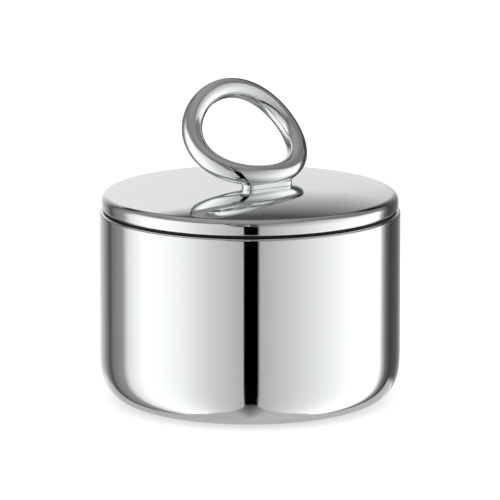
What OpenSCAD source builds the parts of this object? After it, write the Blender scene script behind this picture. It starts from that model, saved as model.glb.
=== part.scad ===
// Lidded sugar bowl in silver-plated brass.
// A straight-sided bowl stands on a flat base, and a shallow domed lid lifts straight off it.
// The knob is one heavy sprung ring that leans back over the lid on a low oval neck.
// Units are millimetres, +Z is up, and the origin is the centre of the base on the table.

/* [Bowl] */
// Outside diameter of the straight wall
bowl_d = 90; // [75:1:115]
// Height from the table to the lip
bowl_h = 57.8; // [45:0.1:80]
// Thickness of the drawn wall and base
bowl_wall = 1.2; // [1:0.1:2]
// How far the rounded bottom corner comes in from the wall
corner_in = 14; // [8:0.5:20]
// How far the rounded bottom corner reaches up the wall
corner_up = 16.5; // [8:0.5:25]
// Fullness of the bottom corner, where 2 is a plain ellipse
corner_power = 3; // [2:0.1:4]
// Rounding of the lip's outer edge
lip_round = 0.8; // [0.3:0.1:1]

/* [Mouth wire] */
// Width of the wire soldered inside the mouth
wire_w = 1.8; // [1.2:0.1:3]
// Height of that wire
wire_h = 2.6; // [1.5:0.1:4]
// Rounding of its two inner edges
wire_round = 0.8; // [0.2:0.1:1.1]
// How far it stands above the lip, which leaves a shadow line under the lid
wire_proud = 0.6; // [0.2:0.1:1]

/* [Lid] */
// How far the lid's side stands in from the bowl's side
lid_inset = 0.6; // [0.2:0.1:1]
// Thickness of the spun lid
lid_wall = 1.2; // [1:0.1:2]
// Height of the lid's upright skirt
skirt_h = 2.2; // [1.2:0.1:5]
// Rounding between the skirt and the dome
lid_round = 2.5; // [2.2:0.1:5]
// Radius of the shallow dome
dome_r = 200; // [180:5:600]
// Rounding of the skirt's lower outer edge
skirt_round = 0.8; // [0.1:0.1:0.8]
// Gap left under the skirt when the lid is closed
seat_gap = 0.1; // [0.05:0.05:0.3]

/* [Locating collar] */
// Gap between the collar and the mouth wire
collar_gap = 0.3; // [0.15:0.05:0.8]
// Thickness of the collar
collar_wall = 1; // [0.8:0.1:2]
// How far the collar reaches below the lip
collar_drop = 6.6; // [4:0.1:14]

/* [Ring knob] */
// Radius of the ring's centre line
ring_r = 16.6; // [13:0.1:22]
// Radius of the round bar that the ring is bent from
bar_r = 3.1; // [2.2:0.1:4]
// How far the ring is sprung out of flat at its top and bottom
ring_saddle = 1.8; // [0:0.1:3]
// Angle between the ring and the lid under its foot
ring_tilt = 38.8; // [33:0.1:60]
// Direction that the ring's foot runs in, seen from above
ring_yaw = 30.5; // [-90:0.5:90]
// How deep the ring is notched over the neck
ring_sink = 1.2; // [0.4:0.1:1.2]
// How far the ring's foot lies along the neck from its middle
ring_shift = 0.7; // [-1:0.1:1]

/* [Neck] */
// Length of the oval neck between the ring and the lid
neck_l = 16.4; // [12:0.1:18]
// Width of the neck
neck_w = 5.3; // [4.5:0.1:7]
// Height of the neck above the lid
neck_h = 1.3; // [1.3:0.1:4]
// Position of the neck to the right of the lid's centre
neck_x = 5; // [-8:0.1:8]
// Position of the neck behind the lid's centre
neck_y = -11.6; // [-15:0.1:8]
// Depth of the flat seat that the neck is let into
seat_depth = 0.3; // [0.25:0.05:0.4]

/* [Fixing under the lid] */
// Diameter of the stud under the neck
stud_d = 3; // [2.5:0.1:4]
// Gap around the stud in the lid and the washer
stud_gap = 0.1; // [0.05:0.05:0.2]
// Diameter of the washer
washer_d = 7; // [6:0.1:8]
// Thickness of the washer
washer_t = 0.6; // [0.4:0.1:1.2]
// Width of the nut across its flats
nut_af = 5.5; // [5:0.1:6]
// Thickness of the nut
nut_t = 2.4; // [1.8:0.1:3.2]
// Length of stud showing below the nut
stud_proud = 0.5; // [0.2:0.1:1.5]
// Depth of the flat that the washer sits on, above the lid's underside
spot_depth = 0.1; // [0.05:0.05:0.15]
// Diameter of the pin that stops the neck turning
pin_d = 1.5; // [1:0.1:1.6]
// Distance from the stud to that pin
pin_out = 4.9; // [4.9:0.1:5.4]
// How far the pin enters the neck
pin_in = 0.8; // [0.4:0.1:0.8]

/* [Hidden] */
$fn = 96;

ARC_STEPS = 10;      // Straight steps in each rounded edge of a turned outline
CORNER_STEPS = 24;   // Straight steps in the bowl's bottom corner
DOME_STEPS = 16;     // Straight steps across the dome
RING_STEPS = 80;     // Sections around the ring
BAR_STEPS = 20;      // Sides of the ring's round bar
OVER = 1;            // How far a cutting shape runs past what it cuts

bowl_r = bowl_d / 2;
bowl_inner_r = bowl_r - bowl_wall;
mouth_r = bowl_inner_r - wire_w;

lid_r = bowl_r - lid_inset;
wire_top_z = bowl_h + wire_proud;
wire_base_z = wire_top_z - wire_h;
lid_base_z = wire_top_z + seat_gap;
// The dome meets the edge rounding smoothly, because their circles touch from inside
edge_x = lid_r - lid_round;
edge_z = lid_base_z + skirt_h;
dome_z = edge_z - sqrt(pow(dome_r - lid_round, 2) - pow(edge_x, 2));
dome_angle = asin(edge_x / (dome_r - lid_round));
crown_z = dome_z + dome_r;

collar_r = mouth_r - collar_gap;

// The knob and its fixing stand square to the dome, so their heights count from its surface
neck_heading = atan2(neck_y, neck_x);
neck_lean = asin(norm([neck_x, neck_y]) / dome_r);
seat_z = -seat_depth;
spot_z = -lid_wall + spot_depth;
washer_z = spot_z - washer_t;
nut_z = washer_z - nut_t;

// Lowest point of the leaning ring's centre line, before it is lifted onto the neck
ring_low = [0, -ring_r * cos(ring_tilt) - ring_saddle * sin(ring_tilt),
            -ring_r * sin(ring_tilt) + ring_saddle * cos(ring_tilt)];
ring_lift = neck_h - ring_sink + bar_r - ring_low[2];

// Points along an arc of radius r about [x, y], from angle a to angle b
function arc(x, y, r, a, b, steps = ARC_STEPS) =
    [for (i = [0:steps]) [x + r * cos(a + (b - a) * i / steps), y + r * sin(a + (b - a) * i / steps)]];

// A point on the bowl's bottom corner, a superellipse quarter, moved inwards by a distance
// Angle 0 is on the upright wall and angle 90 is on the flat base
function corner_point(angle, inwards) =
    let (u = pow(cos(angle), 2 / corner_power),
         v = pow(sin(angle), 2 / corner_power),
         nu = pow(u, corner_power - 1) / corner_in,
         nv = pow(v, corner_power - 1) / corner_up,
         size = norm([nu, nv]))
    [bowl_r - corner_in + corner_in * u - inwards * nu / size,
     corner_up - corner_up * v + inwards * nv / size];

function corner(inwards) =
    [for (i = [0:CORNER_STEPS]) corner_point(90 * i / CORNER_STEPS, inwards)];

function backwards(points) = [for (i = [len(points) - 1:-1:0]) points[i]];

// Points of the lid's surface from the skirt up to the crown, with the metal moved in by a distance
function lid_top(inwards) =
    concat(arc(edge_x, edge_z, lid_round - inwards, 0, 90 - dome_angle),
           arc(0, dome_z, dome_r - inwards, 90 - dome_angle, 90, DOME_STEPS));

// Moves things onto the dome at the neck's place, turned to the ring's direction
module at_neck() {
    translate([0, 0, dome_z])
        rotate([0, neck_lean, neck_heading])
            translate([0, 0, dome_r])
                rotate([0, 0, ring_yaw - neck_heading])
                    children();
}

// Flat shape with straight sides and round ends, as the neck has from above
module oval(length, width) {
    square([length - width, width], center = true);
    for (side = [-1, 1])
        translate([side * (length - width) / 2, 0])
            circle(d = width);
}

// Everything under the lid's inner surface, used to trim the collar to it
module lid_hollow() {
    rotate_extrude()
        polygon(concat([[0, 0], [lid_r - lid_wall, 0]], lid_top(lid_wall)));
}

// Drawn bowl with a flat base, one piece of metal
module bowl_shell() {
    color("silver")
        rotate_extrude()
            polygon(concat(
                [[bowl_inner_r, bowl_h]],
                backwards(arc(bowl_r - lip_round, bowl_h - lip_round, lip_round, 0, 90)),
                corner(0),
                [[0, 0], [0, bowl_wall]],
                backwards(corner(bowl_wall))));
}

// Wire soldered round the inside of the mouth, which the lid's skirt rests on
module mouth_wire() {
    color("gainsboro")
        rotate_extrude()
            polygon(concat(
                [[bowl_inner_r, wire_base_z], [bowl_inner_r, wire_top_z]],
                arc(mouth_r + wire_round, wire_top_z - wire_round, wire_round, 90, 180),
                arc(mouth_r + wire_round, wire_base_z + wire_round, wire_round, 180, 270)));
}

// Spun lid with an upright skirt and a shallow dome, drilled and faced for the knob
module lid_shell() {
    color("silver")
        difference() {
            rotate_extrude()
                polygon(concat(
                    [[lid_r - lid_wall, lid_base_z]],
                    arc(lid_r - skirt_round, lid_base_z + skirt_round, skirt_round, -90, 0),
                    lid_top(0),
                    backwards(lid_top(lid_wall))));
            at_neck() {
                translate([0, 0, seat_z])
                    linear_extrude(seat_depth + OVER)
                        oval(neck_l, neck_w);
                translate([0, 0, spot_z - OVER])
                    cylinder(d = washer_d + 2 * stud_gap, h = OVER);
                translate([0, 0, spot_z - OVER])
                    cylinder(d = stud_d + 2 * stud_gap, h = lid_wall + 2 * OVER);
                translate([pin_out, 0, spot_z - OVER])
                    cylinder(d = pin_d, h = lid_wall + 2 * OVER);
            }
        }
}

// Ring soldered under the lid, which drops inside the mouth and centres the lid
module lid_collar() {
    color("gainsboro")
        intersection() {
            translate([0, 0, bowl_h - collar_drop])
                difference() {
                    cylinder(r = collar_r, h = crown_z, $fn = 180);
                    translate([0, 0, -OVER])
                        cylinder(r = collar_r - collar_wall, h = crown_z + 2 * OVER, $fn = 180);
                }
            lid_hollow();
        }
}

// Centre line of the ring: a circle whose top and bottom are sprung one way and its sides the other
function ring_point(angle) =
    [ring_r * cos(angle), ring_r * sin(angle), -ring_saddle * cos(2 * angle)];

// Direction in which the centre line runs
function ring_ahead(angle) =
    let (along = [-ring_r * sin(angle), ring_r * cos(angle), 2 * ring_saddle * sin(2 * angle)])
    along / norm(along);

// Point on the bar's surface, square to the centre line
function bar_point(angle, turn) =
    let (ahead = ring_ahead(angle),
         out = [cos(angle), sin(angle), 0],
         across = cross(out, ahead) / norm(cross(out, ahead)),
         side = cross(ahead, across))
    ring_point(angle) + bar_r * (cos(turn) * side + sin(turn) * across);

// Round bar bent into a closed ring, as rows of points joined by quads
module bent_bar() {
    points = [for (i = [0:RING_STEPS - 1], j = [0:BAR_STEPS - 1])
        bar_point(360 * i / RING_STEPS, 360 * j / BAR_STEPS)];
    function spot(i, j) = (i % RING_STEPS) * BAR_STEPS + j % BAR_STEPS;
    faces = [for (i = [0:RING_STEPS - 1], j = [0:BAR_STEPS - 1])
        [spot(i, j), spot(i + 1, j), spot(i + 1, j + 1), spot(i, j + 1)]];
    polyhedron(points, faces, convexity = 6);
}

// The neck's oval block, from its seat in the lid up into the ring's notch
module neck_block() {
    translate([0, 0, seat_z])
        linear_extrude(neck_h - seat_z)
            oval(neck_l, neck_w);
}

// Heavy ring that the lid is lifted by, notched where it sits down over the neck
module ring_knob() {
    color("silver")
        at_neck()
            difference() {
                translate([ring_shift, -ring_low[1], ring_lift])
                    rotate([ring_tilt, 0, 0])
                        bent_bar();
                neck_block();
            }
}

// Low oval neck with the stud that clamps it through the lid
module knob_neck() {
    color("silver")
        at_neck()
            difference() {
                union() {
                    neck_block();
                    translate([0, 0, nut_z - stud_proud])
                        cylinder(d = stud_d, h = seat_z - nut_z + stud_proud);
                }
                translate([pin_out, 0, seat_z - OVER])
                    cylinder(d = pin_d, h = pin_in + OVER);
            }
}

// Flat washer under the lid
module knob_washer() {
    color("lightslategray")
        at_neck()
            translate([0, 0, washer_z])
                difference() {
                    cylinder(d = washer_d, h = washer_t);
                    translate([0, 0, -OVER])
                        cylinder(d = stud_d + 2 * stud_gap, h = washer_t + 2 * OVER);
                }
}

// Hexagon nut that holds the knob on
module knob_nut() {
    color("lightslategray")
        at_neck()
            translate([0, 0, nut_z])
                difference() {
                    cylinder(d = nut_af / cos(30), h = nut_t, $fn = 6);
                    translate([0, 0, -OVER])
                        cylinder(d = stud_d, h = nut_t + 2 * OVER);
                }
}

// Small pin through the lid into the neck, which keeps the ring from swivelling
module locating_pin() {
    color("lightslategray")
        at_neck()
            translate([pin_out, 0, -lid_wall])
                cylinder(d = pin_d, h = seat_z + lid_wall + pin_in);
}

bowl_shell();
mouth_wire();
lid_shell();
lid_collar();
ring_knob();
knob_neck();
knob_washer();
knob_nut();
locating_pin();
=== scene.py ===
# %% [markdown]
# # A lidded sugar bowl in mirror-polished silver plate
#
# The bowl is a straight-sided pot with a soft bottom corner, closed by a shallow domed lid.
# The only ornament is the knob: one heavy round bar bent into a ring that leans back.
# Polished silver has no colour of its own. What the eye sees is the studio around it, bent by
# the curves of the metal, so this lesson spends its care on exact curves and on a good studio.

import bpy
import numpy as np
from mathutils import Matrix, Vector


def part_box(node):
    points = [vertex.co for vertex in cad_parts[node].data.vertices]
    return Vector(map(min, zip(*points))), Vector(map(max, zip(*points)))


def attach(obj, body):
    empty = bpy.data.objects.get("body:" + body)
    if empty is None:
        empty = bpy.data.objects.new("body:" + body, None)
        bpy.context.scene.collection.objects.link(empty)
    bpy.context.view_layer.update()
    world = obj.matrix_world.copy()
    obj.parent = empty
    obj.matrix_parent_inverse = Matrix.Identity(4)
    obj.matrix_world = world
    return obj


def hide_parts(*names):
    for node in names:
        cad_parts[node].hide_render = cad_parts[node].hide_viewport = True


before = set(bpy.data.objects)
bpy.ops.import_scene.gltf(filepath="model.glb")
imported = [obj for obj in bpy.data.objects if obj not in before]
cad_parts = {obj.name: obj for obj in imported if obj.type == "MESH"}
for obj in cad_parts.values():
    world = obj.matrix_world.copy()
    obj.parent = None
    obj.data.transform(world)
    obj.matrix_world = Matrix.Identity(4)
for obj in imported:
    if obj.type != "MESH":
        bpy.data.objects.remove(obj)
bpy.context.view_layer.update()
print("nodes:", sorted(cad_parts))

# %% [markdown]
# ## Sizes
#
# The model that was packed holds every size that fits or moves, and each node's box gives them
# back here. Only the soft details that a box can't show, such as roundings, are named again.

# %% Sizes read from the frame
MM = 0.001


def corners(node):
    """Lowest and highest corner of a node as two rows of millimetres."""
    low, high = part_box(node)
    return np.array([low, high]) / MM


bowl = corners("bowl_shell")
wire = corners("mouth_wire")
lid = corners("lid_shell")
collar = corners("lid_collar")
washer = corners("knob_washer")

bowl_r, bowl_h = bowl[1, 0], bowl[1, 2]
bowl_wall = bowl_r - wire[1, 0]
wire_base, wire_top = wire[:, 2]
lid_r, lid_base, crown = lid[1, 0], lid[0, 2], lid[1, 2]
collar_r, collar_end = collar[1, 0], collar[0, 2]
washer_middle = washer.mean(axis=0)
print(f"bowl {2 * bowl_r:.1f} mm across and {bowl_h:.1f} mm high, crown at {crown:.2f} mm")

# %% Details that the boxes don't show, in millimetres
corner_in, corner_up, corner_power = 14.0, 16.5, 3.0
lip_round = 0.8
wire_w, wire_round, groove_depth = 1.8, 0.8, 1.0
lid_wall, skirt_h, lid_round, skirt_round = 1.2, 2.2, 2.5, 0.8
dome_r = 200.0
collar_wall, collar_round = 1.0, 0.3
ring_r, bar_r, ring_saddle, ring_sink, ring_shift = 16.6, 3.1, 1.8, 1.2, 0.7
ring_tilt, ring_yaw = np.radians(38.8), np.radians(30.5)
neck_l, neck_w, neck_h, seat_depth = 16.4, 5.3, 1.3, 0.3
neck_round, solder, neck_sunk = 0.15, 0.18, 0.2
stud_r, stud_gap, stud_proud, stud_chamfer = 1.5, 0.1, 0.5, 0.35
thread_pitch, thread_depth = 0.5, 0.27
washer_r, washer_t, washer_round, spot_depth = 3.5, 0.6, 0.12, 0.1
nut_af, nut_t, nut_chamfer, nut_face = 5.5, 2.4, 0.35, 0.97
pin_r, pin_out, pin_in, pin_proud, pin_dome = 0.75, 4.9, 0.8, 0.1, 0.22

# %% [markdown]
# ## Surfaces from grids
#
# Every piece is a grid of points worked out with whole arrays: an outline carried round an axis,
# or a section carried along a path. One function turns any such grid into a closed mesh.


# %% A mesh from a grid of points
def skin(name, points, finish_of_row=None, crease=None):
    """Mesh from rows of points that close on themselves both ways.

    Grid points on the same spot are welded into one vertex, so seams and poles close, and a cell
    with a welded side becomes a triangle. The sign of the volume says if faces point outwards.
    Each vertex also keeps its distance along the outline in metres, for marks left by turning.
    finish_of_row gives each row's material, and crease is the angle in degrees of a hard edge.
    """
    rows, columns = points.shape[:2]
    flat = np.round(points.reshape(-1, 3), 6)
    spots, index = np.unique(flat, axis=0, return_inverse=True)
    index = index.reshape(rows, columns)
    below, right = np.roll(index, -1, axis=0), np.roll(index, -1, axis=1)
    cells = np.stack([index, right, np.roll(below, -1, axis=1), below], axis=-1).reshape(-1, 4)
    row_of_cell = np.repeat(np.arange(rows), columns)
    steps = np.linalg.norm(np.diff(points[:, 0], axis=0), axis=1)
    along = np.zeros(len(spots))
    along[index] = MM * np.concatenate([[0], np.cumsum(steps)])[:, None]

    welded = cells == np.roll(cells, -1, axis=1)
    whole = ~welded.any(axis=1)
    folded = welded.sum(axis=1) == 1
    kept = np.argsort(welded[folded], axis=1, kind="stable")[:, :3]
    triangles = np.take_along_axis(cells[folded], kept, axis=1)
    quads = cells[whole]

    halves = np.concatenate([quads[:, :3], quads[:, [0, 2, 3]], triangles])
    a, b, c = (spots[halves[:, k]] for k in range(3))
    if np.einsum("ij,ij->i", a, np.cross(b, c)).sum() < 0:
        quads, triangles = quads[:, ::-1], triangles[:, ::-1]

    mesh = bpy.data.meshes.new(name)
    mesh.from_pydata(spots * MM, [], quads.tolist() + triangles.tolist())
    mesh.polygons.foreach_set("use_smooth", np.ones(len(mesh.polygons), bool))
    layer = mesh.attributes.new("along", "FLOAT", "POINT")
    layer.data.foreach_set("value", along)
    if finish_of_row is not None:
        row = np.concatenate([row_of_cell[whole], row_of_cell[folded]])
        mesh.polygons.foreach_set("material_index", np.asarray(finish_of_row, np.int32)[row])
    if crease is not None:
        mesh.set_sharp_from_angle(angle=np.radians(crease))
    mesh.update()
    piece = bpy.data.objects.new(name, mesh)
    bpy.context.scene.collection.objects.link(piece)
    print(f"{name}: {len(spots)} points, {len(quads)} quads, {len(triangles)} triangles")
    return piece


# %% Outlines in a plane
def arc(x, y, r, start, end, steps=16):
    """Points on a circle of radius r about (x, y), between two angles in degrees."""
    angle = np.radians(np.linspace(start, end, steps + 1))
    return np.column_stack([x + r * np.cos(angle), y + r * np.sin(angle)])


def straight(start, end, gap=1.0, edge=0.04):
    """Points along a straight, one gap apart and close together at both ends.

    A mirror shows the average of the faces beside each point, so a straight needs points close
    to its ends, or the curve that it runs into would bend its whole reflection.
    """
    start, end = np.array(start, float), np.array(end, float)
    length = np.linalg.norm(end - start)
    inner = np.linspace(edge, length - edge, max(2, int(length / gap)))
    share = np.concatenate([[0], inner, [length]]) / length
    return start + share[:, None] * (end - start)


def turned(outline, turns=256):
    """Carries a closed outline of (radius, height) points round the upright axis."""
    angle = 2 * np.pi * np.arange(turns) / turns
    radius, height = outline[:, 0, None], outline[:, 1, None]
    return np.stack([radius * np.cos(angle), radius * np.sin(angle), height + 0 * angle], axis=-1)


# %% [markdown]
# ## Materials
#
# The bowl is brass, plated with silver and buffed to a mirror. Silver is a metal, so all its
# colour is in the reflection, and the only detail left on it is a faint haze from polishing.
# Inside, where the wheel doesn't reach, the metal keeps the satin rings of spinning. In the thin
# groove under the lid the wire's face is painted near black: painted shade for the shadow line.


# %% Node helpers
def linear(hex_colour):
    """Scene-linear RGBA of an sRGB hex colour, by the standard curve."""
    value = np.array([int(hex_colour[i:i + 2], 16) for i in (1, 3, 5)]) / 255
    low, high = value / 12.92, ((value + 0.055) / 1.055) ** 2.4
    return (*np.where(value <= 0.04045, low, high), 1.0)


def add_node(tree, kind, links=None, **settings):
    """Adds one node, sets its properties and plain inputs, and links its other inputs.

    A setting that isn't a property of the node is an input, with _ for each space in its name.
    """
    node = tree.nodes.new(kind)
    for name, value in settings.items():
        if hasattr(node, name):
            setattr(node, name, value)
        else:
            node.inputs[name.replace("_", " ")].default_value = value
    for name, source in (links or {}).items():
        tree.links.new(source, node.inputs[name])
    return node


def new_material(name):
    """Empty node material with a metal shader wired to its output."""
    material = bpy.data.materials.new(name)
    material.use_nodes = True
    tree = material.node_tree
    tree.nodes.clear()
    metal = add_node(tree, "ShaderNodeBsdfPrincipled", Metallic=1.0)
    add_node(tree, "ShaderNodeOutputMaterial", {"Surface": metal.outputs["BSDF"]})
    return material, tree, metal


# %% Mirror-polished silver plate
def polished_silver():
    """Silver plate buffed on a wheel: a clear mirror with a trace of haze in soft patches.

    A slow noise gives the patches and a tint of tarnish, and a fine one gives buffing marks.
    """
    material, tree, metal = new_material("silver_plate_mirror_polished")
    place = add_node(tree, "ShaderNodeTexCoord")
    patches = add_node(tree, "ShaderNodeTexNoise", {"Vector": place.outputs["Object"]},
                       Scale=1 / (14 * MM), Detail=3.0)
    tint = add_node(tree, "ShaderNodeMix", {"Factor": patches.outputs["Fac"]}, data_type="RGBA")
    tint.inputs["A"].default_value = linear("#F6F9FA")
    tint.inputs["B"].default_value = linear("#F3F4F3")
    tree.links.new(tint.outputs["Result"], metal.inputs["Base Color"])
    marks = add_node(tree, "ShaderNodeTexNoise", {"Vector": place.outputs["Object"]},
                     Scale=1 / (0.5 * MM), Detail=2.0)
    haze = add_node(tree, "ShaderNodeMath", {0: patches.outputs["Fac"], 1: marks.outputs["Fac"]},
                    operation="MULTIPLY")
    rough = add_node(tree, "ShaderNodeMapRange", {"Value": haze.outputs["Value"]},
                     From_Min=0.1, From_Max=0.45, To_Min=0.02, To_Max=0.06)
    tree.links.new(rough.outputs["Result"], metal.inputs["Roughness"])
    return material


# %% Metal with fine rings
def ringed_metal(name, dark, light, pitch, smooth, coarse, depth):
    """Metal turned or spun on a lathe, with fine rings square to the way the tool went.

    The rings are a noise of one number, the distance along the piece's own outline over a pitch
    in millimetres. They change the colour a little, the roughness, and the height by a depth.
    """
    material, tree, metal = new_material(name)
    along = add_node(tree, "ShaderNodeAttribute", attribute_name="along")
    count = add_node(tree, "ShaderNodeMath", {0: along.outputs["Fac"]}, operation="DIVIDE")
    count.inputs[1].default_value = pitch * MM
    rings = add_node(tree, "ShaderNodeTexNoise", {"W": count.outputs["Value"]},
                     noise_dimensions="1D", Scale=1.0, Detail=4.0, Roughness=0.65)
    tint = add_node(tree, "ShaderNodeMix", {"Factor": rings.outputs["Fac"]}, data_type="RGBA")
    tint.inputs["A"].default_value = linear(dark)
    tint.inputs["B"].default_value = linear(light)
    tree.links.new(tint.outputs["Result"], metal.inputs["Base Color"])
    rough = add_node(tree, "ShaderNodeMapRange", {"Value": rings.outputs["Fac"]},
                     From_Min=0.3, From_Max=0.7, To_Min=smooth, To_Max=coarse)
    tree.links.new(rough.outputs["Result"], metal.inputs["Roughness"])
    bump = add_node(tree, "ShaderNodeBump", {"Height": rings.outputs["Fac"]},
                    Strength=0.5, Distance=depth * MM)
    tree.links.new(bump.outputs["Normal"], metal.inputs["Normal"])
    return material


mirror = polished_silver()
satin = ringed_metal("silver_plate_satin_spun", "#DEDFDD", "#F1F2F0", 0.45, 0.18, 0.32, 0.01)
steel = ringed_metal("stainless_steel_turned", "#A9A8A6", "#CFCECB", 0.12, 0.22, 0.40, 0.004)
# Near-black metal: painted shade for the shadow line in the groove between lid and lip.
painted_groove_shade = ringed_metal("silver_plate_painted_groove_shade", "#1C1B1A", "#3A3835", 0.3, 0.35, 0.6, 0.01)
brass = ringed_metal("brass_turned", "#B8904A", "#E0C07A", 0.10, 0.20, 0.38, 0.004)
print("materials:", [m.name for m in (mirror, satin, steel, painted_groove_shade, brass)])


# %% Tying a piece to the model
def fit(piece, body, node, slot, *materials):
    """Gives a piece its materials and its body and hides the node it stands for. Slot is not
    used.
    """
    for material in materials:
        piece.data.materials.append(material)
    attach(piece, body)
    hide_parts(node)


# %% [markdown]
# ## The bowl
#
# The real bowl is drawn from one sheet, so one outline carries the outside, the lip and the
# inside. A wire soldered inside the mouth stands a little proud of the lip, so the closed lid
# rests on it and leaves a thin shadow line.
#
# The bottom corner is fuller than a quarter circle. A superellipse gives that shape, and its
# curvature dies away at both ends, so reflections run on without a kink.


# %% The bottom corner
def bottom_corner(inwards, steps=72):
    """Superellipse quarter from the wall to the base, moved in square to itself by a distance.

    The two coordinates are the cosine and the sine of an angle, each to the power of two over
    the fullness. The outward direction follows from the slope of that curve.
    """
    angle = np.linspace(0, np.pi / 2, steps + 1)
    across = np.clip(np.cos(angle), 0, 1) ** (2 / corner_power)
    up = np.clip(np.sin(angle), 0, 1) ** (2 / corner_power)
    out = np.column_stack([across ** (corner_power - 1) / corner_in,
                           -up ** (corner_power - 1) / corner_up])
    out /= np.linalg.norm(out, axis=1, keepdims=True)
    edge = np.column_stack([bowl_r - corner_in + corner_in * across, corner_up - corner_up * up])
    return edge - inwards * out


# %% Bowl shell
inner_r = bowl_r - bowl_wall
outside = np.concatenate([
    arc(bowl_r - lip_round, bowl_h - lip_round, lip_round, 90, 0),
    straight((bowl_r, bowl_h - lip_round), (bowl_r, corner_up)),
    bottom_corner(0),
    straight((bowl_r - corner_in, 0), (0, 0), 2.0)])
inside = np.concatenate([
    straight((0, bowl_wall), (bowl_r - corner_in, bowl_wall), 2.0),
    bottom_corner(bowl_wall)[::-1],
    straight((inner_r, corner_up), (inner_r, bowl_h)),
    straight((inner_r, bowl_h), (bowl_r - lip_round, bowl_h))])
bowl_piece = skin("bowl", turned(np.concatenate([outside, inside])),
                  np.repeat([0, 1], [len(outside), len(inside)]))
fit(bowl_piece, "bowl", "bowl_shell", "silver_plate", mirror, satin)

# %% Wire soldered inside the mouth
mouth_r = inner_r - wire_w
wire_edge = mouth_r + wire_round
wire_outline = np.concatenate([
    straight((inner_r, wire_base), (inner_r, wire_top), 0.2),
    straight((inner_r, wire_top), (wire_edge, wire_top), 0.3),
    arc(wire_edge, wire_top - wire_round, wire_round, 90, 180),
    arc(wire_edge, wire_base + wire_round, wire_round, 180, 270),
    straight((wire_edge, wire_base), (inner_r, wire_base), 0.3)])
# The wire's outer face up in the groove is painted near black, as painted shade for the shadow
# line.
in_groove = (wire_outline[:, 0] > inner_r - 0.01) & (wire_outline[:, 1] > bowl_h - groove_depth)
wire_piece = skin("mouth_wire_ring", turned(wire_outline), in_groove.astype(int))
fit(wire_piece, "bowl", "mouth_wire", "silver_inside", satin, painted_groove_shade)

# %% [markdown]
# ## The lid
#
# The lid is spun over a former: an upright skirt, a small rounding and a dome so shallow that it
# looks flat until something is reflected in it. The rounding's circle touches the dome's circle
# from inside, so the two meet without an edge.

# %% Lid shell
edge_x, edge_z = lid_r - lid_round, lid_base + skirt_h
dome_z = edge_z - np.sqrt((dome_r - lid_round) ** 2 - edge_x ** 2)
dome_angle = np.degrees(np.arcsin(edge_x / (dome_r - lid_round)))


def lid_top(inwards):
    """Outline from the skirt up over the rounding and the dome to the axis."""
    return np.concatenate([
        arc(edge_x, edge_z, lid_round - inwards, 0, 90 - dome_angle, 28),
        arc(0, dome_z, dome_r - inwards, 90 - dome_angle, 90, 60)])


lid_outside = np.concatenate([
    arc(lid_r - skirt_round, lid_base + skirt_round, skirt_round, -90, 0, 10),
    straight((lid_r, lid_base + skirt_round), (lid_r, edge_z), 0.4),
    lid_top(0)])
lid_inside = np.concatenate([
    lid_top(lid_wall)[::-1],
    straight((lid_r - lid_wall, edge_z), (lid_r - lid_wall, lid_base), 0.4),
    straight((lid_r - lid_wall, lid_base), (lid_r - skirt_round, lid_base), 0.2)])
lid_piece = skin("lid", turned(np.concatenate([lid_outside, lid_inside])),
                 np.repeat([0, 1], [len(lid_outside), len(lid_inside)]))
fit(lid_piece, "lid", "lid_shell", "silver_plate", mirror, satin)

# %% Locating collar
under_z = dome_z + np.sqrt((dome_r - lid_wall) ** 2 - collar_r ** 2)
collar_in, collar_edge = collar_r - collar_wall, collar_end + collar_round
collar_outline = np.concatenate([
    arc(collar_r - collar_round, collar_edge, collar_round, -90, 0, 6),
    straight((collar_r, collar_edge), (collar_r, under_z)),
    straight((collar_r, under_z), (collar_in, under_z), 0.3),
    straight((collar_in, under_z), (collar_in, collar_edge)),
    arc(collar_in + collar_round, collar_edge, collar_round, 180, 270, 6)])
collar_piece = skin("locating_collar", turned(collar_outline))
fit(collar_piece, "lid", "lid_collar", "silver_inside", satin)

# %% [markdown]
# ## The ring knob
#
# The knob is a round bar bent into a circle and then sprung, so that its foot and its top come
# forward and its two sides go back. It leans back over the lid on a low oval neck.
# Neck, stud, washer, nut and pin all stand square to the dome, whose middle lies far below.


# %% Placing things square to the dome
dome_middle = np.array([0, 0, dome_z])
knob_way = (washer_middle - dome_middle) / np.linalg.norm(washer_middle - dome_middle)
heading, lean = np.arctan2(knob_way[1], knob_way[0]), np.arccos(knob_way[2])
knob_turn = np.array(Matrix.Rotation(heading, 3, "Z") @ Matrix.Rotation(lean, 3, "Y")
                     @ Matrix.Rotation(ring_yaw - heading, 3, "Z"))
knob_place = dome_middle + dome_r * knob_way


def at_neck(points):
    """Moves points onto the dome at the neck, turned so that +X runs along the ring's foot."""
    return points @ knob_turn.T + knob_place


print("knob stands on the dome at", knob_place.round(2), "leaning", round(np.degrees(lean), 2))


# %% The ring
def bent_bar(around=480, across=96):
    """Round bar along a sprung circle, leaning back with its lowest point over the origin.

    The centre line is a circle whose height is minus the spring times the cosine of twice the
    angle. The bar's section is a circle square to that line.
    """
    angle = (2 * np.pi * np.arange(around) / around)[:, None]
    turn = 2 * np.pi * np.arange(across) / across
    zero = 0 * angle
    centre = np.stack([ring_r * np.cos(angle), ring_r * np.sin(angle),
                       -ring_saddle * np.cos(2 * angle)], axis=-1)
    ahead = np.stack([-ring_r * np.sin(angle), ring_r * np.cos(angle),
                      2 * ring_saddle * np.sin(2 * angle)], axis=-1)
    ahead /= np.linalg.norm(ahead, axis=-1, keepdims=True)
    across_bar = np.cross(np.stack([np.cos(angle), np.sin(angle), zero], axis=-1), ahead)
    across_bar /= np.linalg.norm(across_bar, axis=-1, keepdims=True)
    side = np.cross(ahead, across_bar)
    bar = centre + bar_r * (np.cos(turn)[:, None] * side + np.sin(turn)[:, None] * across_bar)

    leaning = np.array(Matrix.Rotation(ring_tilt, 3, "X"))
    foot = leaning @ [0, -ring_r, ring_saddle]
    return bar @ leaning.T - foot


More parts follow.
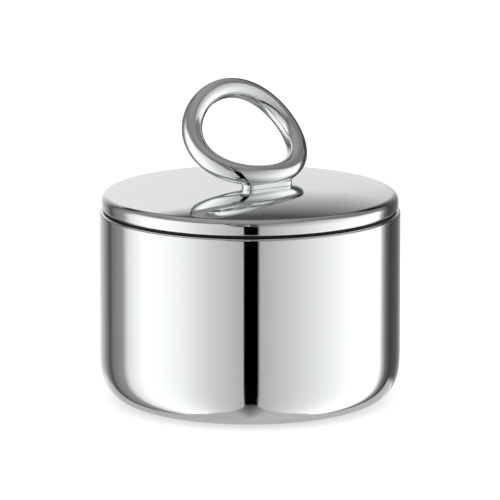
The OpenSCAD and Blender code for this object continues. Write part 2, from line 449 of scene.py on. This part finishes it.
bar_place = [ring_shift, 0, neck_h - ring_sink + bar_r]
ring_piece = skin("ring_knob_bar", at_neck(bent_bar() + bar_place))
fit(ring_piece, "lid", "ring_knob", "silver_plate", mirror)


# %% The oval neck
def oval_column(outline, ends=48, sides=24):
    """Carries an outline of (outward, height) points round a short line with round ends.

    The foot follows the dome, which falls by the square of the distance over twice its radius.
    """
    half = (neck_l - neck_w) / 2
    middle = np.concatenate([np.full(ends, half), np.linspace(half, -half, sides),
                             np.full(ends, -half), np.linspace(-half, half, sides)])
    turn = np.radians(np.concatenate([np.linspace(-90, 90, ends), np.full(sides, 90),
                                      np.linspace(90, 270, ends), np.full(sides, 270)]))
    outward, height = outline[:, 0, None], outline[:, 1, None]
    x, y = middle + outward * np.cos(turn), outward * np.sin(turn)
    foot_share = np.clip(1 - height / neck_h, 0, 1)
    return np.stack([x, y, height - foot_share * (x * x + y * y) / (2 * dome_r)], axis=-1)


neck_half = neck_w / 2
neck_outline = np.concatenate([
    [[0, -neck_sunk], [neck_half + solder, -neck_sunk]],
    arc(neck_half + solder, solder, solder, 270, 180, 8),
    straight((neck_half, solder), (neck_half, neck_h - neck_round), 0.3),
    arc(neck_half - neck_round, neck_h - neck_round, neck_round, 0, 90, 8),
    [[0, neck_h]]])
neck_piece = skin("ring_neck", at_neck(oval_column(neck_outline)))
fit(neck_piece, "lid", "knob_neck", "silver_plate", mirror)

# %% [markdown]
# ## The fixing under the lid
#
# A threaded stud below the neck passes through the lid and takes a washer and a nut. A small pin
# beside it stops the ring from turning. Heights here count down from the dome's surface.

# %% Threaded stud
washer_top = -lid_wall + spot_depth
washer_end = washer_top - washer_t
nut_end = washer_end - nut_t
stud_end = nut_end - stud_proud


def threaded(top, end, turns=96, row_gap=0.05):
    """Screw thread: the radius falls and rises once per pitch of height, a pitch per turn.

    The wave is clipped to a flat crest and a flat root, and the end is cut back to a cone.
    """
    height = np.linspace(end, top, int((top - end) / row_gap))[:, None]
    angle = 2 * np.pi * np.arange(turns) / turns
    place = (height / thread_pitch - angle / (2 * np.pi)) % 1
    radius = stud_r - thread_depth * np.clip(np.abs(2 * place - 1) * 1.25 - 0.125, 0, 1)
    radius = np.minimum(radius, stud_r - stud_chamfer + (height - end))
    sides = np.stack([radius * np.cos(angle), radius * np.sin(angle), height + 0 * angle], -1)
    caps = np.zeros((2, turns, 3))
    caps[0, :, 2], caps[1, :, 2] = end, top
    return np.concatenate([caps[:1], sides, caps[1:]])


stud_piece = skin("threaded_stud", at_neck(threaded(-seat_depth, stud_end)), crease=50)
fit(stud_piece, "lid", "knob_neck", "silver_plate", satin)

# %% Washer
washer_bore = stud_r + stud_gap
washer_outline = np.concatenate([
    [[washer_bore, washer_top], [washer_bore, washer_end]],
    straight((washer_bore, washer_end), (washer_r - washer_round, washer_end), 0.3),
    arc(washer_r - washer_round, washer_end + washer_round, washer_round, 270, 360, 6),
    [[washer_r, washer_top]],
    straight((washer_r, washer_top), (washer_bore, washer_top), 0.3)])
washer_piece = skin("washer", at_neck(turned(washer_outline, 192)), crease=40)
fit(washer_piece, "lid", "knob_washer", "steel_fixing", steel)


# %% Nut
def hexagon_nut(turns=192, rows=12):
    """Six flats whose corners are cut back by a cone of thirty degrees at both faces.

    A flat's distance at an angle is half the width over the cosine of the angle from its middle.
    """
    angle = 2 * np.pi * np.arange(turns) / turns
    flats = nut_af / 2 / np.cos(angle % (np.pi / 3) - np.pi / 6)
    cut = np.linspace(0, nut_chamfer, rows)
    rise = np.concatenate([cut, nut_t - cut[::-1]])[:, None]
    cone = nut_af / 2 * nut_face + np.minimum(rise, nut_t - rise) / np.tan(np.pi / 6)
    radius = np.minimum(flats, cone)
    sides = np.stack([radius * np.cos(angle), radius * np.sin(angle),
                      nut_end + rise + 0 * angle], -1)
    bore = turned(np.array([[stud_r, nut_end], [stud_r, nut_end + nut_t]]), turns)
    return np.concatenate([bore[:1], sides, bore[1:]])


nut_piece = skin("nut", at_neck(hexagon_nut()), crease=12)
fit(nut_piece, "lid", "knob_nut", "steel_fixing", steel)

# %% Locating pin with a domed end
pin_base, pin_top = pin_proud - lid_wall, pin_in - seat_depth
pin_end = arc(0, 0, 1, -90, 0, 12) * [pin_r, pin_dome] + [0, pin_base]
pin_outline = np.concatenate([pin_end, [[pin_r, pin_top], [0, pin_top]]])
pin_piece = skin("stop_pin", at_neck(turned(pin_outline, 48) + [pin_out, 0, 0]), crease=50)
fit(pin_piece, "lid", "locating_pin", "brass_pin", brass)

# %% [markdown]
# ## Camera and studio
#
# The camera looks slightly down with a long lens, so the sides of the bowl stay upright.
# The studio is a light tent. Two tall soft boxes meet in front with a narrow black gap, their
# outer edges are dark, and a pale sweep behind darkens upwards. Only reflections see the tent.
# The floor and the pale surroundings light the rest evenly.

# %% Camera
view_elevation, view_distance, long_lens = np.radians(13.1), 1.9, 455
aim = Vector((0, 0, 45.4 * MM))
camera_data = bpy.data.cameras.new("camera")
camera_data.lens = long_lens
camera_data.clip_end = 20
camera = bpy.data.objects.new("camera", camera_data)
camera.location = (0, -view_distance * np.cos(view_elevation),
                   view_distance * np.sin(view_elevation))
camera.rotation_euler = (aim - camera.location).to_track_quat("-Z", "Y").to_euler()
bpy.context.scene.collection.objects.link(camera)
bpy.context.scene.camera = camera
bpy.context.scene.view_settings.view_transform = "Standard"
print("camera at", [round(v, 3) for v in camera.location])

# %% Floor and surroundings
world = bpy.data.worlds.new("pale_surroundings")
world.use_nodes = True
background = world.node_tree.nodes["Background"]
background.inputs["Color"].default_value = (1, 1, 1, 1)
background.inputs["Strength"].default_value = 1.15
world.cycles_visibility.glossy = False
bpy.context.scene.world = world

floor_mesh = bpy.data.meshes.new("floor")
reach = 6.0
floor_mesh.from_pydata([(-reach, -reach, 0), (reach, -reach, 0), (reach, reach, 0),
                        (-reach, reach, 0)], [], [(0, 1, 2, 3)])
floor = bpy.data.objects.new("floor", floor_mesh)
bpy.context.scene.collection.objects.link(floor)
paint = bpy.data.materials.new("floor_white_paint")
paint.use_nodes = True
white_paint = paint.node_tree.nodes["Principled BSDF"]
white_paint.inputs["Base Color"].default_value = (0.8, 0.8, 0.8, 1)
white_paint.inputs["Roughness"].default_value = 1.0
white_paint.inputs["Specular IOR Level"].default_value = 0.0
white_paint.inputs["Emission Color"].default_value = (1, 1, 1, 1)
white_paint.inputs["Emission Strength"].default_value = 0.35
floor_mesh.materials.append(paint)
floor.visible_glossy = False

# %% [markdown]
# ## The light tent
#
# A mirror shows every fault of its studio, so the tent's brightness is a plain function of two
# angles: azimuth from the camera's side, positive to the right, and elevation above the table.
# Each wall, edge and fade is one line of that function.

# %% The light tent's material
glow_material = bpy.data.materials.new("light_tent")
glow_material.use_nodes = True
glow_tree = glow_material.node_tree
glow_tree.nodes.clear()
glow_value = add_node(glow_tree, "ShaderNodeAttribute", attribute_name="glow")
glow_light = add_node(glow_tree, "ShaderNodeEmission", {"Strength": glow_value.outputs["Fac"]})
add_node(glow_tree, "ShaderNodeOutputMaterial", {"Surface": glow_light.outputs["Emission"]})
glow_material.cycles.emission_sampling = "NONE"


# %% Brightness of the tent in each direction
def blend(value, start, end):
    """Smooth change from 0 to 1 as value goes from start to end, flat outside."""
    share = np.clip((value - start) / (end - start), 0, 1)
    return share * share * (3 - 2 * share)


def front_half(az, el):
    """Two soft boxes that fade towards the middle, with a dark edge behind each.

    The left box is even up to its top edge. The right box grows dimmer with height.
    """
    left = np.interp(az, [-138, -134, -130, -114, -106, -86, -56, -30, -5],
                     [0.12, 0.08, 0.18, 0.30, 0.80, 1.15, 0.98, 0.66, 0.46])
    left_top = np.interp(az, [-110, -90, -70, -50, -30], [24, 27, 34, 35, 40])
    left = left + (0.23 - left) * blend(el, left_top, left_top + 19)
    left = left * (1 - 0.6 * blend(el, 14, 28) * np.exp(-((az + 9) / 7) ** 2))
    right = np.interp(az, [6, 8, 56, 84, 117, 122, 127, 134],
                      [0.12, 0.46, 0.86, 1.12, 1.12, 0.45, 0.15, 0.06])
    right = right * (1 - 0.6 * np.clip((el - 6) / 54, 0, 1))
    right_top = np.interp(az, [80, 100, 120], [44, 20, 8])
    right = right + (0.2 - right) * blend(el, right_top, right_top + 17) * blend(az, 76, 86)
    return np.where(az < 0, left, right)


def black_gap(az, el):
    """1 inside the gap between the boxes, which narrows and leans to the left with height."""
    climb = np.clip((el - 22) / 30, 0, 1)
    half = 5.4 - 3.4 * np.clip(2 * climb, 0, 1)
    return blend(np.abs(az - 0.7 + 24 * climb), half + 0.5, half - 0.4) * blend(el, 66, 58)


def back_half(az, el):
    """Pale sweep behind the bowl, darker to both sides and cut off above by a slanting edge."""
    back = az % 360 - 180
    sweep = np.interp(back, [-46, -36, -28, -16, -5, 13, 27, 38, 42],
                      [0.05, 0.08, 0.11, 0.32, 0.75, 0.84, 0.48, 0.22, 0.12])
    start, end = np.interp(back, [-6, 5], [18, 30]), np.interp(back, [-6, 0, 5], [35, 36, 34.5])
    return sweep * (1 - 0.9 * np.clip((el - start) / (end - start), 0, 1))


def tent_glow(az, el):
    """Soft boxes and sweep at table height, a grey roof above and the pale table below.

    The table is darkest at the foot of the gap and brightest far behind the bowl.
    """
    in_front = np.abs(az) < 136
    walls = np.where(in_front, front_half(az, el), back_half(az, el))
    eaves = np.interp(az, [-180, -130, -90, -50, -10, 60, 110, 150, 180],
                      [0.31, 0.33, 0.26, 0.23, 0.18, 0.21, 0.19, 0.24, 0.31])
    roof = eaves + (0.3 - eaves) * blend(el, 60, 82)
    rise = np.where(in_front, 54, 38)
    glow = walls + (roof - walls) * blend(el, rise, rise + 9)
    glow = glow * (1 - black_gap(az, el))
    table = 0.47 + 0.03 * np.sin(np.radians(az))
    shade = np.exp(-(az / 14) ** 2) * np.interp(el, [-80, -34], [0.25, 1])
    table = table - (table - 0.02) * shade
    table = table + 0.4 * blend(np.abs(az), 140, 165) * blend(el, -30, -16)
    left_foot = np.interp(az, [-150, -142, -134, -118, -63, -18, -8, -3],
                          [-14, -20, -48, -62, -65, -55, -46, -37])
    right_foot = np.interp(az, [3, 8, 15, 27, 52, 105, 128, 138],
                           [-37, -42, -50, -57, -63, -63, -55, -17])
    foot = np.where(az < 0, left_foot, right_foot)
    return glow + (table - glow) * blend(el, foot, foot - 3)


# %% The light tent
def light_tent(distance=2.5):
    """Ball round the bowl, seen only in reflections, that glows differently in each direction.

    Cells are smaller along the edges of the gap and at the back of each box.
    """
    azimuth = np.unique(np.concatenate([np.linspace(-180, 180, 361), np.linspace(-7, 8, 121),
                                        np.linspace(-30, 10, 121), np.linspace(-140, -130, 21),
                                        np.linspace(120, 140, 41)]))
    height = np.unique(np.concatenate([np.linspace(-90, 90, 181), np.linspace(20, 66, 93)]))
    az, el = np.meshgrid(azimuth, height)
    a, e = np.radians(az), np.radians(el)
    spots = distance * np.stack([np.sin(a) * np.cos(e), -np.cos(a) * np.cos(e), np.sin(e)], -1)
    index = np.arange(spots[..., 0].size).reshape(az.shape)
    cells = np.stack([index[:-1, :-1], index[:-1, 1:], index[1:, 1:], index[1:, :-1]], -1)
    mesh = bpy.data.meshes.new("light_tent")
    mesh.from_pydata(spots.reshape(-1, 3), [], cells.reshape(-1, 4).tolist())
    layer = mesh.attributes.new("glow", "FLOAT", "POINT")
    layer.data.foreach_set("value", tent_glow(az, el).ravel())
    mesh.materials.append(glow_material)
    tent = bpy.data.objects.new("light_tent", mesh)
    tent.visible_camera = tent.visible_diffuse = tent.visible_shadow = False
    bpy.context.scene.collection.objects.link(tent)
    return tent


tent = light_tent()
print("light tent:", len(tent.data.polygons), "cells")
